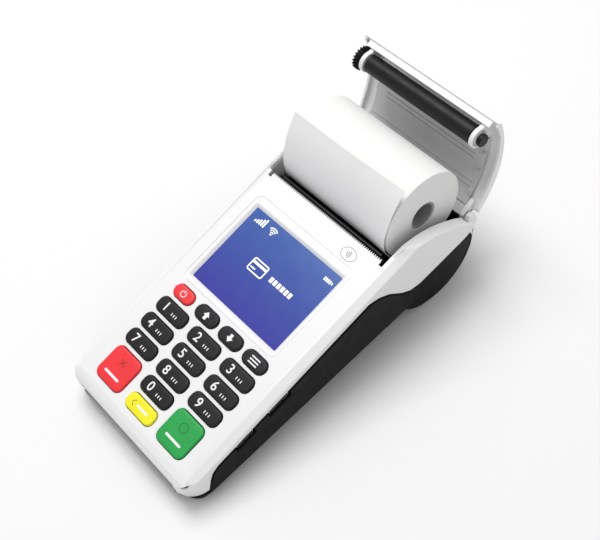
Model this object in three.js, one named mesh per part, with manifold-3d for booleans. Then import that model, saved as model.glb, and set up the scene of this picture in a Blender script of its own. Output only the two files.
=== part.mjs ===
// Card payment terminal with a clamshell receipt printer. The cover is open and the paper roll is
// lifted half out of its well.
// Millimetres. Everything is drawn in the panel frame (x right, y towards the printer, z out of the keypad
// panel, origin on the panel at the centre of key 2) and then tilted so that the feet stand on z = 0.
import * as THREE from "three";
import { mergeVertices } from "three/addons/utils/BufferGeometryUtils.js";
import Module from "manifold-3d";

const wasm = await Module();
wasm.setup();

// ---------- driving dimensions ----------
const GAP = 0.3; // clearance between neighbouring pieces

const FACE_HALF = 34.0; // flat part of the panel, half width
const CASE_HALF = 37.4; // top case, half width below the bevel
const BEVEL_DROP = 1.8;
const NOSE_Y = -46.5; // front lip
const FACE_END_Y = 65.0; // panel's rear end, where the tear bar starts
const ROOF = 1.8; // panel thickness
const SEAM_Z = -4.0; // underside of the top case along the grip
const GRIP_HALF = 37.8; // lower case, half width at the grip
const BULGE_HALF = 34.8; // lower case, half width at the printer
const WELL_HALF = 32.3; // paper well, half width
const WALL = 1.6;

const SEAT = [83.0, -27.5]; // paper roll's axis (y, z) when it lies in the well
const LIFTED = [90.5, -3.4]; // paper roll's axis while it is being loaded
const ROLL_R = 19.0;
const ROLL_HALF = 28.5;
const CORE_R = 6.0;
const WELL_R = 19.7;
const BULGE_R = 21.2;

const HINGE = [105.6, -24.0]; // cover's hinge axis (y, z)
const COVER_OPEN = THREE.MathUtils.degToRad(88);
const COVER_TIP = [67.8, 2.6]; // front edge of the closed cover
const COVER_HEEL = [107.6, -25.0]; // rear edge of the closed cover
const COVER_CROWN = 8.0; // how far the cover bows above the line from heel to tip
const COVER_HALF = 35.0;
const COVER_SKIN = 1.2;

const PLATEN = [73.4, -5.2]; // platen's axis (y, z) with the cover closed
const PLATEN_R = 3.85;
const PLATEN_HALF = 27.5;

const GEAR_MODULE = 0.45;
const PLATEN_TEETH = 20;
const REDUCTION_TEETH = 32;
const PINION_TEETH = 12;
const GEAR_X = [-33.2, -30.9];
const GEAR_POCKET = [-34.0, -30.2];

const SCREEN_X = -1.2; // middle of the display
const SCREEN_W = 49.0;
const SCREEN_H = 36.8;
const SCREEN_Y = 34.3;
const FRAME_W = 54.2; // display recess
const FRAME_H = 43.8;
const FRAME_Y = 35.1;

const KEY_PITCH_X = 19.7;
const KEY_PITCH_Y = 8.43;
const KEY_PROUD = 0.9;
const KEY_TRAVEL = 0.7;

// ---------- geometry helpers ----------
function solid(geometry) {
  const bare = geometry.clone();
  bare.deleteAttribute("normal");
  bare.deleteAttribute("uv");
  const merged = mergeVertices(bare, 1e-4);
  return new wasm.Manifold(new wasm.Mesh({
    numProp: 3,
    vertProperties: new Float32Array(merged.attributes.position.array),
    triVerts: new Uint32Array(merged.index.array),
  }));
}

function geometryOf(body) {
  const mesh = body.getMesh();
  const geometry = new THREE.BufferGeometry();
  geometry.setAttribute("position", new THREE.BufferAttribute(new Float32Array(mesh.vertProperties), 3));
  geometry.setIndex(new THREE.BufferAttribute(new Uint32Array(mesh.triVerts), 1));
  geometry.computeVertexNormals();
  return geometry;
}

function shapeOf(points) {
  return new THREE.Shape(points.map(([a, b]) => new THREE.Vector2(a, b)));
}

// Outline in (x, y) raised from z = low to z = high.
function prismZ(shape, low, high, curveSegments = 2) {
  const settings = { depth: high - low, bevelEnabled: false, curveSegments };
  return new THREE.ExtrudeGeometry(shape, settings).translate(0, 0, low);
}

// Outline in (y, z) carried from x = low to x = high.
function prismX(points, low, high) {
  const outline = Array.isArray(points) ? shapeOf(points) : points;
  const turned = new THREE.Matrix4().set(0, 0, 1, low, 1, 0, 0, 0, 0, 1, 0, 0, 0, 0, 0, 1);
  return prismZ(outline, 0, high - low).applyMatrix4(turned);
}

// Outline in (x, z) carried from y = low to y = high.
function prismY(points, low, high) {
  const turned = new THREE.Matrix4().set(1, 0, 0, 0, 0, 0, -1, high, 0, 1, 0, 0, 0, 0, 0, 1);
  return prismZ(shapeOf(points), 0, high - low).applyMatrix4(turned);
}

function block([x0, x1], [y0, y1], [z0, z1]) {
  const box = new THREE.BoxGeometry(x1 - x0, y1 - y0, z1 - z0);
  return box.translate((x0 + x1) / 2, (y0 + y1) / 2, (z0 + z1) / 2);
}

function discX(radius, x0, x1, [y, z], segments = 24) {
  return new THREE.CylinderGeometry(radius, radius, x1 - x0, segments)
    .rotateZ(Math.PI / 2).translate((x0 + x1) / 2, y, z);
}

function discZ(radius, z0, z1, [x, y], segments = 16) {
  return new THREE.CylinderGeometry(radius, radius, z1 - z0, segments)
    .rotateX(Math.PI / 2).translate(x, y, (z0 + z1) / 2);
}

// Tube along x with a bore, as a closed lathe profile.
function ringX(outer, bore, x0, x1, [y, z], segments = 28) {
  const profile = [[bore, x0], [outer, x0], [outer, x1], [bore, x1], [bore, x0]];
  const turned = new THREE.LatheGeometry(profile.map(([r, h]) => new THREE.Vector2(r, h)), segments);
  return turned.rotateZ(-Math.PI / 2).translate(0, y, z);
}

function roundedShape(cx, cy, width, height, radius) {
  const [x0, x1, y0, y1] = [cx - width / 2, cx + width / 2, cy - height / 2, cy + height / 2];
  const r = Math.min(radius, width / 2 - 0.01, height / 2 - 0.01);
  const outline = new THREE.Shape();
  outline.moveTo(x0 + r, y0);
  outline.lineTo(x1 - r, y0);
  outline.absarc(x1 - r, y0 + r, r, -Math.PI / 2, 0);
  outline.lineTo(x1, y1 - r);
  outline.absarc(x1 - r, y1 - r, r, 0, Math.PI / 2);
  outline.lineTo(x0 + r, y1);
  outline.absarc(x0 + r, y1 - r, r, Math.PI / 2, Math.PI);
  outline.lineTo(x0, y0 + r);
  outline.absarc(x0 + r, y0 + r, r, Math.PI, 1.5 * Math.PI);
  return outline;
}

// Points on an arc round centre, from angle a0 to a1 in degrees, both ends included.
function arcPoints([cy, cz], radius, a0, a1, steps) {
  return Array.from({ length: steps + 1 }, (_, i) => {
    const a = THREE.MathUtils.degToRad(a0 + ((a1 - a0) * i) / steps);
    return [cy + radius * Math.cos(a), cz + radius * Math.sin(a)];
  });
}

// The stretch from |x| = near to |x| = far on one side, -1 left or 1 right, in rising order.
function sideSpan(side, near, far) {
  return side < 0 ? [-far, -near] : [near, far];
}

// Spur gear along x with straight-flanked teeth; phase turns it in tooth pitches.
function gearX(teeth, bore, [x0, x1], [y, z], phase) {
  const pitchR = (GEAR_MODULE * teeth) / 2;
  const [tipR, rootR] = [pitchR + GEAR_MODULE, pitchR - 1.2 * GEAR_MODULE];
  const flank = [[-0.27, rootR], [-0.12, tipR], [0.12, tipR], [0.27, rootR]];
  const points = [];
  for (let i = 0; i < teeth; i += 1) {
    for (const [part, r] of flank) {
      const a = ((i + part + phase) / teeth) * 2 * Math.PI;
      points.push([r * Math.cos(a), r * Math.sin(a)]);
    }
  }
  const outline = shapeOf(points);
  outline.holes.push(new THREE.Path(shapeOf(arcPoints([0, 0], bore, 360, 30, 11)).getPoints()));
  return prismX(outline, x0, x1).translate(0, y, z);
}

function piece(name, geometry, colour, roughness = 0.5, metalness = 0, parent = device) {
  const material = new THREE.MeshStandardMaterial({ color: colour, roughness, metalness });
  const mesh = new THREE.Mesh(geometry, material);
  mesh.name = name;
  parent.add(mesh);
  return mesh;
}

const WHITE = 0xf2f2f0;
const BLACK = 0x1e1e20;
const KEY_GREY = 0x2d2d2f;
const STEEL = 0xb8babd;
const BOARD = 0x1f5a38;

// ---------- groups ----------
const terminal = new THREE.Group();
const device = new THREE.Group(); // panel frame
const cover = new THREE.Group(); // swings about the hinge; its children are drawn closed
terminal.add(device);
device.add(cover);
cover.position.set(0, HINGE[0], HINGE[1]);
cover.rotation.x = -COVER_OPEN;

function coverPiece(name, geometry, colour, roughness, metalness) {
  return piece(name, geometry.translate(0, -HINGE[0], -HINGE[1]), colour, roughness, metalness, cover);
}

// ---------- outlines seen from the side, as (y, z) ----------
// Top edge of the well's side walls: level beside the tear bar, then falling to the hinge.
const wallCurve = new THREE.SplineCurve([
  [76, -0.2], [84, -3.2], [91.5, -8.3], [98.6, -15.2], [102.8, -20.5],
].map(([y, z]) => new THREE.Vector2(y, z)));
const wallTop = wallCurve.getPoints(9).map((p) => [p.x, p.y]);

// Where the white case ends and the black one begins, from the rear end to the front.
const seam = [
  [104.2, -25.0], [98, -25.6], [84, -24.6], [73, -23.6], [68.5, -21.8], [65.0, -18.0],
  [60.5, -10.5], [56, -6.0], [52, SEAM_Z], [-27, SEAM_Z], [-31, -5.2], [-34.5, -9.0], [-37, -13.0],
];
const topProfile = [
  [NOSE_Y + 1.4, -13.0], [NOSE_Y, -11.6], [NOSE_Y, -8.6], [-45.2, -8.0], [-45.0, -4.6], [-43.9, -2.2],
  [-42.0, -0.7], [-39.5, 0], [69, 0], ...wallTop, [104.2, -22.5], ...seam,
];
const lowerSeam = seam.map(([y, z]) => [y, z - GAP]);

// ---------- top case ----------
function keyLayout() {
  const keys = [];
  const add = (name, x, y, width, height, radius, colour) => {
    keys.push({ name, x, y, width, height, radius, colour });
  };
  const digits = ["1", "2", "3", "4", "5", "6", "7", "8", "9"];
  digits.forEach((digit, i) => {
    const [column, rowDown] = [(i % 3) - 1, Math.floor(i / 3)];
    add(`key_${digit}`, column * KEY_PITCH_X, -rowDown * KEY_PITCH_Y, 16.2, 6.4, 2.5, KEY_GREY);
  });
  add("key_0", 0, -3 * KEY_PITCH_Y, 16.2, 6.4, 2.5, KEY_GREY);
  add("key_clear", 0, -4 * KEY_PITCH_Y, 15.6, 6.4, 2.5, 0xf2e21c);
  add("key_cancel", -19.4, -29.5, 15.0, 14.6, 2.8, 0xe8323a);
  add("key_enter", 19.2, -29.5, 15.2, 14.8, 2.8, 0x24a854);
  const row = [["key_power", 0xe03038], ["key_f1", KEY_GREY], ["key_f2", KEY_GREY], ["key_menu", KEY_GREY]];
  row.forEach(([name, colour], i) => {
    const [width, height] = name === "key_power" ? [10.6, 5.6] : [11.9, 5.9];
    add(name, (i - 1.5) * 14.2, 8.1, width, height, height / 2 - 0.05, colour);
  });
  return keys;
}
const keys = keyLayout();

const screwPlaces = [[-31.6, -33.0], [31.6, -33.0], [-32.0, 50.0], [32.0, 50.0]];
const frontRadius = 11;

function caseOutline(half, rear) {
  const outline = new THREE.Shape();
  outline.moveTo(-half, rear);
  outline.lineTo(-half, NOSE_Y + frontRadius);
  outline.absarc(-half + frontRadius, NOSE_Y + frontRadius, frontRadius, Math.PI, 1.5 * Math.PI);
  outline.absarc(half - frontRadius, NOSE_Y + frontRadius, frontRadius, 1.5 * Math.PI, 2 * Math.PI);
  outline.lineTo(half, rear);
  return outline;
}

function makeTopCase() {
  const bevel = [
    [-CASE_HALF, -60], [CASE_HALF, -60], [CASE_HALF, -BEVEL_DROP], [FACE_HALF, 0], [FACE_HALF, 9],
    [-FACE_HALF, 9], [-FACE_HALF, 0], [-CASE_HALF, -BEVEL_DROP],
  ];
  let body = solid(prismX(topProfile, -CASE_HALF, CASE_HALF));
  body = body.intersect(solid(prismZ(caseOutline(CASE_HALF, 120), -60, 9, 4)));
  body = body.intersect(solid(prismY(bevel, -60, 120)));
  const inside = [
    [-43.2, -60], [-43.2, -9], [-42.5, -4], [-40, -ROOF], [66.5, -ROOF], [66.5, -60],
  ];
  const insideHalf = CASE_HALF - WALL;
  body = body.subtract(solid(prismX(inside, -insideHalf, insideHalf)).intersect(
    solid(prismZ(roundedShape(0, 40, 2 * insideHalf, 167, 9), -60, 9)),
  ));
  body = body.subtract(solid(block([-WELL_HALF, WELL_HALF], [FACE_END_Y, 125], [-60, 9])));
  // The side walls are hollow behind the printer.
  const pocket = [
    [67, -60], [67, -3], [76, -3.2], [84, -6.2], [92, -12], [99, -19], [101.5, -23], [101.5, -60],
  ];
  for (const side of [-1, 1]) {
    body = body.subtract(solid(prismX(pocket, ...sideSpan(side, 33.9, 35.8))));
  }
  // Room for the gears on the left, and for the lower case's hinge bosses.
  body = body.subtract(solid(block(GEAR_POCKET, [67.5, 79.5], [-60, 9])));
  body = body.subtract(solid(block(GEAR_POCKET, [67.5, 85.5], [-6.5, 9])));
  body = body.subtract(solid(discX(8.7, ...GEAR_POCKET, reductionAxis)));
  body = body.subtract(solid(discX(4.5, 32.2, 35.2, HINGE)));
  body = body.subtract(solid(discX(4.5, -35.2, -32.2, HINGE)));
  // Card slot across the nose, with a funnel cut back into the upper lip.
  body = body.subtract(solid(block([-28.4, 28.4], [-50, -38], [-8.4, -6.8])));
  const funnel = [[-50, -8.4], [-44.2, -8.4], [-43.4, -6.8], [-44.6, -3.4], [-50, -3.4]];
  body = body.subtract(solid(prismX(funnel, -29.4, 29.4)));
  const displayHole = roundedShape(SCREEN_X, FRAME_Y, FRAME_W + 2 * GAP, FRAME_H + 2 * GAP, 3);
  body = body.subtract(solid(prismZ(displayHole, -9, 9)));
  for (const key of keys) {
    const hole = roundedShape(key.x, key.y, key.width + 0.7, key.height + 0.7, key.radius + 0.35);
    body = body.subtract(solid(prismZ(hole, -9, 9)));
  }
  for (const place of screwPlaces) {
    const boss = solid(discZ(2.9, -8.2, -ROOF + 0.6, place));
    body = body.add(boss.subtract(solid(discZ(1.5, -9, -3.2, place))));
  }
  return body;
}

const platenPitchR = (GEAR_MODULE * PLATEN_TEETH) / 2;
const reductionPitchR = (GEAR_MODULE * REDUCTION_TEETH) / 2;
const pinionPitchR = (GEAR_MODULE * PINION_TEETH) / 2;
const MESH_SLACK = 0.25;
// Directions in degrees from the platen to the reduction gear, and from there to the motor. They differ
// from each other by a whole number of reduction teeth, so that both meshes are in step.
const REDUCTION_WAY = -120;
const MOTOR_WAY = 195;
const reductionAxis = axisAt(PLATEN, platenPitchR + reductionPitchR + MESH_SLACK, REDUCTION_WAY);
const motorAxis = axisAt(reductionAxis, reductionPitchR + pinionPitchR + MESH_SLACK, MOTOR_WAY);

// Turn, in tooth pitches, that puts a tooth (or a gap) of a gear towards the given direction.
function phase(teeth, degrees, tooth) {
  return (teeth * degrees) / 360 + (tooth ? 0 : 0.5);
}

function axisAt([y, z], distance, degrees) {
  const a = THREE.MathUtils.degToRad(degrees);
  return [y + distance * Math.cos(a), z + distance * Math.sin(a)];
}

piece("top_case", geometryOf(makeTopCase()), WHITE, 0.3);

// ---------- lower case ----------
const BOTTOM_SLOPE = Math.atan2(14.2, 97.0);
const bottomAt = (y) => -17.0 - (y + 38.5) * Math.tan(BOTTOM_SLOPE);
const gripProfile = [
  [-44.4, -13.4], [-43.0, -15.6], [-38.5, -17.0], [61.0, bottomAt(61.0)], [66.5, bottomAt(61.0) + 1.5],
  [69.2, -24.8], ...lowerSeam.slice(4),
];
const corridor = [Math.cos(-0.302), Math.sin(-0.302)]; // square to the roll's way into the well
const wellBack = [SEAT[0] + WELL_R * corridor[0], SEAT[1] + WELL_R * corridor[1]];
const wellBackTop = [wellBack[0] + 2.05, wellBack[1] + 6.55];
const wellFront = [SEAT[0] - WELL_R * corridor[0], SEAT[1] - WELL_R * corridor[1]];
const wellFrontTop = [wellFront[0] + 1.75, wellFront[1] + 5.6];
const wellFloor = arcPoints(SEAT, WELL_R, 162.7, 342.7, 26);
const bulgeFloor = arcPoints(SEAT, BULGE_R, 162.7, 342.7, 26);

const bulgeProfile = [
  [wellFrontTop[0] - 1.4, wellFrontTop[1]], ...bulgeFloor, [wellBackTop[0] + 1.6, wellBackTop[1]],
];
const wellProfile = [
  [wellFrontTop[0], wellFrontTop[1] + 0.5], ...wellFloor, wellBackTop, [wellBackTop[0], 20],
  [69.5, 20], [69.5, wellFrontTop[1] + 0.5],
];
const bulgeSides = [...bulgeFloor, [106.0, -28.2], ...lowerSeam.slice(0, 5)];

function makeLowerCase() {
  let body = solid(prismX(gripProfile, -GRIP_HALF, GRIP_HALF));
  body = body.intersect(solid(prismZ(caseOutline(GRIP_HALF, 120), -80, 9, 4)));
  // The grip's long lower edges are cut at 45 degrees.
  for (const side of [-1, 1]) {
    const edge = block([-2.2, 2.2], [-90, 90], [-2.2, 2.2]).rotateY(Math.PI / 4).rotateX(-BOTTOM_SLOPE)
      .translate(side * (GRIP_HALF + 0.4), 10, bottomAt(10) - 0.4);
    body = body.subtract(solid(edge));
  }
  const inside = [
    [-42.2, 9], [-42.2, -14.0], [-38.2, -15.2], [61.0, bottomAt(61.0) + WALL + 0.2], [64.5, -26.5],
    [67.5, -22.8], [63.0, -17.5], [63.0, 9],
  ];
  const insideHalf = GRIP_HALF - WALL - 0.2;
  body = body.subtract(solid(prismX(inside, -insideHalf, insideHalf)).intersect(
    solid(prismZ(roundedShape(0, 40, 2 * insideHalf, 165, 9), -80, 20)),
  ));
  body = body.add(solid(prismX(bulgeProfile, -WELL_HALF, WELL_HALF)));
  body = body.add(solid(prismX(bulgeSides, -BULGE_HALF, -WELL_HALF)));
  body = body.add(solid(prismX(bulgeSides, WELL_HALF, BULGE_HALF)));
  body = body.subtract(solid(prismX(wellProfile, -WELL_HALF, WELL_HALF)));
  // Hinge bosses just inside the well's side walls, each with a bore for its pin.
  const bossOutline = [
    [102.0, -26.0], [103.4, -22.6], [105.0, -21.3], [106.8, -21.6], [107.9, -23.0], [108.0, -25.0],
    [107.2, -28.0], [103.0, -30.0],
  ];
  for (const side of [-1, 1]) {
    body = body.add(solid(prismX(bossOutline, ...sideSpan(side, 32.6, 34.8))));
    body = body.subtract(solid(discX(1.2, ...sideSpan(side, 30, 34.2), HINGE, 16)));
  }
  body = body.subtract(solid(discX(8.7, ...GEAR_POCKET, reductionAxis)));
  // Battery bay in the sloping bottom.
  body = body.subtract(solid(alongBottom(block([-23, 23], [4, 52], [-4, 4]))));
  // Port windows in the right wall just under the seam.
  for (const [y0, y1] of portWindows) {
    body = body.subtract(solid(block([33, 40], [y0, y1], [-7.0, 0])));
  }
  for (const [x, y] of screwPlaces) {
    const post = discZ(4.2, bottomAt(y) + 0.6, bottomAt(y) + 4.4, [x, y]);
    body = body.add(solid(post).intersect(solid(prismX(gripProfile, -GRIP_HALF, GRIP_HALF))));
    body = body.subtract(solid(discZ(2.7, -60, bottomAt(y) + 2.6, [x, y])));
    body = body.subtract(solid(discZ(1.6, -60, 0, [x, y])));
  }
  return body;
}

const portWindows = [[-19.5, -9.5], [-2.5, 9.0]];

// Places a piece drawn on a level floor at z = 0 onto the sloping bottom.
function alongBottom(geometry) {
  return geometry.rotateX(-BOTTOM_SLOPE).translate(0, 0, bottomAt(0));
}

piece("lower_case", geometryOf(makeLowerCase()), BLACK, 0.55);

// ---------- display ----------
function makeBezel() {
  const outer = solid(prismZ(roundedShape(SCREEN_X, FRAME_Y, FRAME_W, FRAME_H, 2.8), -1.3, -0.1));
  const window = solid(prismZ(roundedShape(SCREEN_X, SCREEN_Y, SCREEN_W, SCREEN_H, 0.4), -4, 4));
  const funnel = new THREE.CylinderGeometry(Math.SQRT2, Math.SQRT2 * 0.955, 1.2, 4)
    .rotateY(Math.PI / 4).rotateX(Math.PI / 2).scale(SCREEN_W / 2 + 1.2, SCREEN_H / 2 + 1.2, 1)
    .translate(SCREEN_X, SCREEN_Y, -0.5);
  return outer.subtract(window).subtract(solid(funnel));
}
piece("display_bezel", geometryOf(makeBezel()), WHITE, 0.35);
const glassShape = roundedShape(SCREEN_X, SCREEN_Y, SCREEN_W + 1.6, SCREEN_H + 1.6, 0.6);
const backingShape = roundedShape(SCREEN_X, SCREEN_Y, SCREEN_W + 3, SCREEN_H + 3, 1);
piece("lcd_panel", prismZ(glassShape, -3.0, -1.6), 0x3a5ab4, 0.15);
piece("lcd_backing", prismZ(backingShape, -5.2, -3.3), STEEL, 0.4, 0.9);

// ---------- keypad ----------
const KEY_FLOOR = -2.8;
// A key is a stem with a slightly smaller crown and a flange that keeps it under the panel.
function makeKey({ x, y, width, height, radius }) {
  const stem = prismZ(roundedShape(x, y, width, height, radius), KEY_FLOOR + 0.2, KEY_PROUD - 0.3);
  const crown = prismZ(roundedShape(x, y, width - 0.7, height - 0.7, radius - 0.35), 0, KEY_PROUD);
  const flange = roundedShape(x, y, width + 1.5, height + 1.2, radius + 0.6);
  return solid(stem).add(solid(crown)).add(solid(prismZ(flange, KEY_FLOOR, KEY_FLOOR + 0.7)));
}
for (const key of keys) {
  piece(key.name, geometryOf(makeKey(key)), key.colour, 0.45);
}
const MAT_TOP = KEY_FLOOR - KEY_TRAVEL - GAP;
const padShape = roundedShape(0, -12.5, 56, 51, 3);
piece("keypad_mat", prismZ(padShape, MAT_TOP - 0.8, MAT_TOP), 0xd9d9d6, 0.8);
piece("keypad_board", prismZ(roundedShape(0, -12.5, 56, 52, 2), -5.9, -4.9), BOARD, 0.5);

// ---------- card reader, boards, battery ----------
function makeCardReader() {
  const shell = solid(prismZ(roundedShape(0, -15, 56.6, 44, 2), -9.6, -6.2));
  return shell.subtract(solid(block([-27.2, 27.2], [-40, 2], [-8.4, -6.9])));
}
piece("chip_card_reader", geometryOf(makeCardReader()), 0x2a2a2c, 0.6);
piece("main_board", block([-29.5, 29.5], [-34, 48], [-11.4, -10.2]), BOARD, 0.5);
piece("battery_pack", alongBottom(block([-22, 22], [6, 50], [2.6, 8.6])), 0x3a3c40, 0.6);

function makeBatteryDoor() {
  const plate = solid(alongBottom(block([-22.6, 22.6], [4.4, 51.6], [0.05, 1.7])));
  return plate.subtract(solid(alongBottom(block([-7, 7], [45, 48.4], [-1, 0.8]))));
}
piece("battery_door", geometryOf(makeBatteryDoor()), BLACK, 0.6);
function makePort([y0, y1]) {
  const shell = solid(block([29.8, 36.8], [y0 + 0.7, y1 - 0.7], [-6.6, -4.5]));
  return shell.subtract(solid(block([31.5, 38], [y0 + 1.2, y1 - 1.2], [-6.1, -5.0])));
}
piece("usb_port", geometryOf(makePort(portWindows[0])), STEEL, 0.35, 0.9);
piece("power_port", geometryOf(makePort(portWindows[1])), STEEL, 0.35, 0.9);
piece("speaker", discZ(6.5, -16.4, -13.0, [-22, -22], 24), 0x202020, 0.6);
piece("contactless_antenna", geometryOf(
  solid(prismZ(roundedShape(SCREEN_X, 35.1, 54, 46, 3), -7.0, -6.5))
    .subtract(solid(prismZ(roundedShape(SCREEN_X, 35.1, 46, 38, 2), -8, -5))),
), 0x8a5a2a, 0.5);

// ---------- printer in the body ----------
function tearBarShape() {
  const half = WELL_HALF - 1.7;
  const teeth = 58;
  const pitch = (2 * half) / teeth;
  const points = [[-half, FACE_END_Y + GAP], [half, FACE_END_Y + GAP]];
  for (let i = 0; i < teeth; i += 1) {
    points.push([half - i * pitch, 67.3]);
    points.push([half - (i + 0.5) * pitch, 68.3]);
  }
  points.push([-half, 67.3]);
  return shapeOf(points);
}
piece("tear_bar", prismZ(tearBarShape(), -1.9, -0.1), 0xe6e6e4, 0.35);
piece("print_head", block([-27.7, 27.7], [68.5, 69.2], [-7.0, -2.6]), 0x5a4a3c, 0.3, 0.2);
const headFrame = [
  [63.4, -2.4], [68.2, -2.4], [68.2, -9.3], [66.4, -14.6], [63.4, -15.6],
];
piece("print_head_frame", prismX(headFrame, -30, 30), BLACK, 0.6);
piece("stepper_motor", discX(5.0, -30.4, -14, motorAxis, 24), STEEL, 0.4, 0.9);
piece("motor_shaft", discX(0.75, -33.0, -30.7, motorAxis, 12), STEEL, 0.3, 0.9);
const GEAR_WHITE = 0xd8d4c8;
const pinionPhase = phase(PINION_TEETH, MOTOR_WAY - 180, false);
const reductionPhase = phase(REDUCTION_TEETH, MOTOR_WAY, true);
const platenPhase = phase(PLATEN_TEETH, REDUCTION_WAY, false);
const pinion = gearX(PINION_TEETH, 1.05, GEAR_X, motorAxis, pinionPhase);
const reduction = gearX(REDUCTION_TEETH, 1.3, GEAR_X, reductionAxis, reductionPhase);
piece("motor_pinion", pinion, GEAR_WHITE, 0.5);
piece("reduction_gear", reduction, GEAR_WHITE, 0.5);
piece("reduction_pin", discX(1.0, -33.5, -30.6, reductionAxis, 12), STEEL, 0.3, 0.9);

// ---------- cover, drawn closed ----------
function bowed(heel, tip, crown, inset, steps) {
  const [dy, dz] = [tip[0] - heel[0], tip[1] - heel[1]];
  const chord = Math.hypot(dy, dz);
  const radius = ((chord / 2) ** 2 + crown ** 2) / (2 * crown);
  const normal = [dz / chord, -dy / chord];
  const middle = [(heel[0] + tip[0]) / 2, (heel[1] + tip[1]) / 2];
  const centre = [middle[0] + normal[0] * (crown - radius), middle[1] + normal[1] * (crown - radius)];
  const a0 = THREE.MathUtils.radToDeg(Math.atan2(heel[1] - centre[1], heel[0] - centre[0]));
  const a1 = THREE.MathUtils.radToDeg(Math.atan2(tip[1] - centre[1], tip[0] - centre[0]));
  return arcPoints(centre, radius - inset, a0, a1, steps);
}
const coverSkin = [
  ...bowed(COVER_HEEL, COVER_TIP, COVER_CROWN, 0, 20),
  ...bowed(COVER_HEEL, COVER_TIP, COVER_CROWN, COVER_SKIN, 20).reverse(),
];
const skirtFloor = wallTop.map(([y, z]) => [y, z + GAP + 0.1]);
const coverSkirt = [...bowed(COVER_HEEL, COVER_TIP, COVER_CROWN, 0, 20).slice(2), [69, 0.4], ...skirtFloor];

function makeCoverShell() {
  let body = solid(prismX(coverSkin, -COVER_HALF, COVER_HALF));
  for (const side of [-1, 1]) {
    body = body.add(solid(prismX(coverSkirt, ...sideSpan(side, 33.6, COVER_HALF))));
    // Hinge arm, between the roll's end and the well's side wall.
    const arm = [
      [103.2, -25.6], [105.6, -26.6], [107.2, -25.8], [106.6, -21.6], [103.6, -16.4], [101.4, -18.6],
    ];
    body = body.add(solid(prismX(arm, ...sideSpan(side, 30.0, 31.9))));
    body = body.subtract(solid(discX(1.15, ...sideSpan(side, 29.0, 32.9), HINGE, 16)));
    // Room round the body's hinge boss.
    const bossRoom = discX(3.5, ...sideSpan(side, 32.25, 36), HINGE, 20);
    body = body.subtract(solid(bossRoom));
    // Platen bracket: a web from the skin down to a ring that holds the bushing.
    const web = [[70.4, 1.6], [69.7, -4.6], [73.4, -8.4], [77.2, -4.8], [79.4, 2.0], [76, 3.4]];
    body = body.add(solid(prismX(web, ...sideSpan(side, 28.1, 30.0))));
    body = body.add(solid(discX(4.3, ...sideSpan(side, 28.1, 30.0), PLATEN, 24)));
    body = body.subtract(solid(discX(3.2, ...sideSpan(side, 28.0, 30.1), PLATEN, 24)));
  }
  body = body.subtract(solid(discX(PLATEN_R + 0.6, -PLATEN_HALF - 0.4, PLATEN_HALF + 0.4, PLATEN, 24)));
  return body.intersect(coverLimit());
}

// Nothing of the cover stands outside its own skin.
function coverLimit() {
  const outside = [...bowed(COVER_HEEL, COVER_TIP, COVER_CROWN, 0, 20), [60, -40], [108, -40]];
  return solid(prismX(outside, -COVER_HALF, COVER_HALF));
}

coverPiece("cover_shell", geometryOf(makeCoverShell()), WHITE, 0.3);

function makeLiner() {
  const under = COVER_SKIN + GAP;
  const heel = bowed(COVER_HEEL, COVER_TIP, COVER_CROWN, under, 30).slice(3, 23);
  const inner = bowed(COVER_HEEL, COVER_TIP, COVER_CROWN, under + 0.7, 30).slice(3, 23);
  return solid(prismX([...heel, ...inner.reverse()], -29.4, 29.4));
}
coverPiece("cover_liner", geometryOf(makeLiner()), 0x8c8c8c, 0.5);
coverPiece("platen_shaft", discX(1.5, -33.3, 31.6, PLATEN, 20), STEEL, 0.3, 0.9);
coverPiece("platen_roller", ringX(PLATEN_R, 1.8, -PLATEN_HALF, PLATEN_HALF, PLATEN, 32), 0x262626, 0.7);
coverPiece("platen_bushing_left", ringX(2.9, 1.8, -30.1, -28.0, PLATEN, 24), WHITE, 0.4);
coverPiece("platen_bushing_right", ringX(2.9, 1.8, 28.0, 30.1, PLATEN, 24), WHITE, 0.4);
coverPiece("platen_end_cap", ringX(2.6, 1.8, 30.4, 32.0, PLATEN, 20), BLACK, 0.5);
coverPiece("platen_gear", gearX(PLATEN_TEETH, 1.8, GEAR_X, PLATEN, platenPhase), BLACK, 0.5);
coverPiece("hinge_pin_left", discX(0.85, -34.0, -29.8, HINGE, 14), STEEL, 0.3, 0.9);
coverPiece("hinge_pin_right", discX(0.85, 29.8, 34.0, HINGE, 14), STEEL, 0.3, 0.9);

// ---------- paper ----------
piece("paper_roll", ringX(ROLL_R, CORE_R + GAP, -ROLL_HALF, ROLL_HALF, LIFTED, 48), 0xf7f7f5, 0.8);
const coreTube = ringX(CORE_R, CORE_R - 1.0, -ROLL_HALF + 0.3, ROLL_HALF - 0.3, LIFTED, 24);
piece("paper_core", coreTube, 0x8a8a88, 0.8);

// The loose end of the paper peels off the roll's front and stands away from it.
const tailCurve = new THREE.SplineCurve([
  [-18.5, -6.7], [-19.6, -0.2], [-17.5, 9.0], [-13.0, 15.8], [-8.2, 20.8], [-3.4, 24.6],
].map(([y, z]) => new THREE.Vector2(LIFTED[0] + y, LIFTED[1] + z)));
function makeTail() {
  const thickness = 0.25;
  const steps = 16;
  const [near, far] = [[], []];
  for (let i = 0; i <= steps; i += 1) {
    const p = tailCurve.getPoint(i / steps);
    const t = tailCurve.getTangent(i / steps);
    near.push([p.x - (t.y * thickness) / 2, p.y + (t.x * thickness) / 2]);
    far.push([p.x + (t.y * thickness) / 2, p.y - (t.x * thickness) / 2]);
  }
  return prismX([...near, ...far.reverse()], -ROLL_HALF, ROLL_HALF);
}
piece("paper_tail", makeTail(), 0xf7f7f5, 0.8);

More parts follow.
